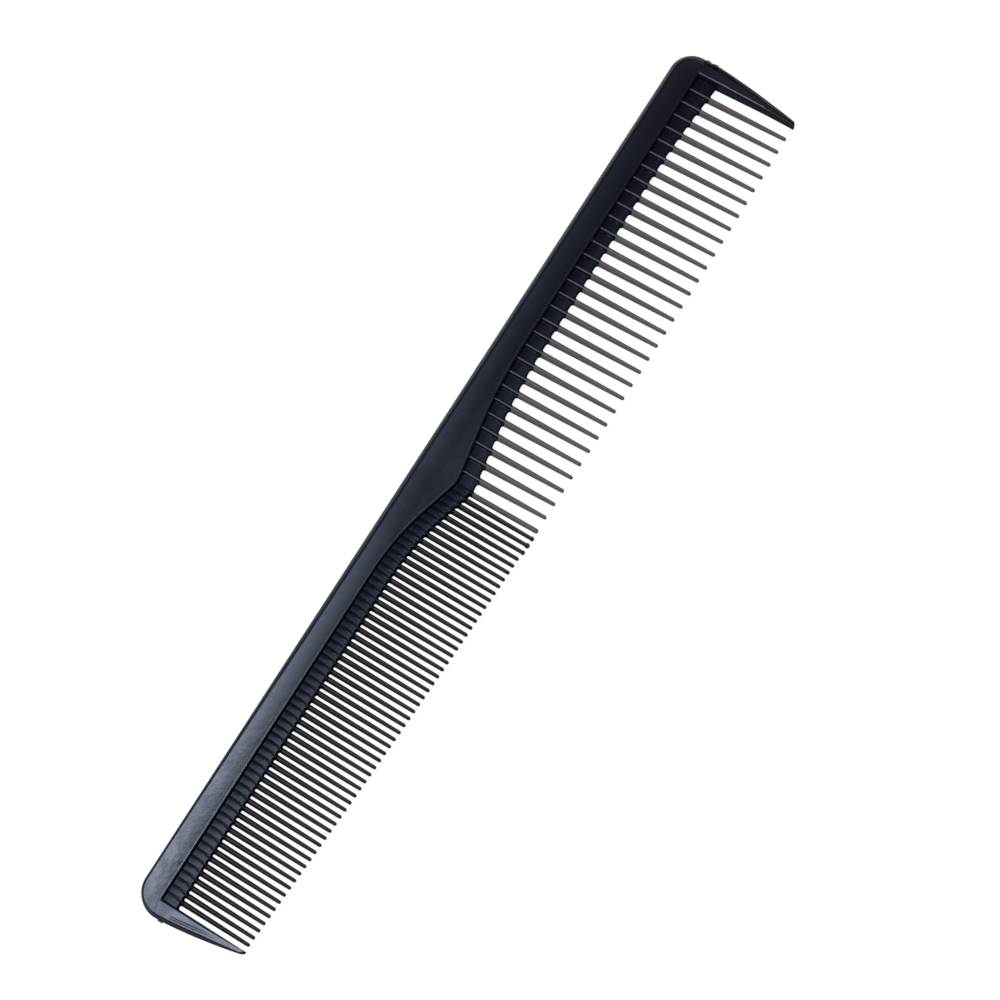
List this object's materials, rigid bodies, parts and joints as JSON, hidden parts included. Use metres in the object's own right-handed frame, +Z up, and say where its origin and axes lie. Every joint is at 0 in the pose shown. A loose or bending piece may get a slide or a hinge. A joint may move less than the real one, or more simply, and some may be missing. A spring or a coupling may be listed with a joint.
{
  "type": "hair comb",
  "caption": "Flat barber's cutting comb, fine teeth on one half and coarse teeth on the other, under a solid spine with a dip in the middle and a pointed guard at each end",
  "frame": {"origin": "below the middle of the comb, on the surface that it lies on", "axes": "+X along the length to the coarse end, +Y across to the back of the spine, +Z up through the thickness"},
  "size_m": [0.1804, 0.0254, 0.0038],
  "materials": {
    "spine_black": "satin black plastic, slightly scuffed",
    "web_black": "satin black plastic in the mould's sunk panels",
    "fine_tooth_black": "satin black plastic",
    "coarse_tooth_black": "satin black plastic"
  },
  "bodies": {
    "root": {"spine": "spine_black", "fine_web": "web_black", "coarse_web": "web_black", "fine_end_guard": "spine_black", "coarse_end_guard": "spine_black", "fine_teeth": "fine_tooth_black", "changeover_tooth": "fine_tooth_black", "fine_gate_mark": "spine_black", "coarse_gate_marks": "spine_black", "coarse_tooth_01": "coarse_tooth_black", "coarse_tooth_02": "coarse_tooth_black", "coarse_tooth_03": "coarse_tooth_black", "coarse_tooth_04": "coarse_tooth_black", "coarse_tooth_05": "coarse_tooth_black", "coarse_tooth_06": "coarse_tooth_black", "coarse_tooth_07": "coarse_tooth_black", "coarse_tooth_08": "coarse_tooth_black", "coarse_tooth_09": "coarse_tooth_black", "coarse_tooth_10": "coarse_tooth_black", "coarse_tooth_11": "coarse_tooth_black", "coarse_tooth_12": "coarse_tooth_black", "coarse_tooth_13": "coarse_tooth_black", "coarse_tooth_14": "coarse_tooth_black", "coarse_tooth_15": "coarse_tooth_black", "coarse_tooth_16": "coarse_tooth_black", "coarse_tooth_17": "coarse_tooth_black", "coarse_tooth_18": "coarse_tooth_black", "coarse_tooth_19": "coarse_tooth_black", "coarse_tooth_20": "coarse_tooth_black", "coarse_tooth_21": "coarse_tooth_black", "coarse_tooth_22": "coarse_tooth_black", "coarse_tooth_23": "coarse_tooth_black", "coarse_tooth_24": "coarse_tooth_black", "coarse_tooth_25": "coarse_tooth_black", "coarse_tooth_26": "coarse_tooth_black", "coarse_tooth_27": "coarse_tooth_black", "coarse_tooth_28": "coarse_tooth_black", "coarse_tooth_29": "coarse_tooth_black", "coarse_tooth_30": "coarse_tooth_black"}
  },
  "joints": []
}
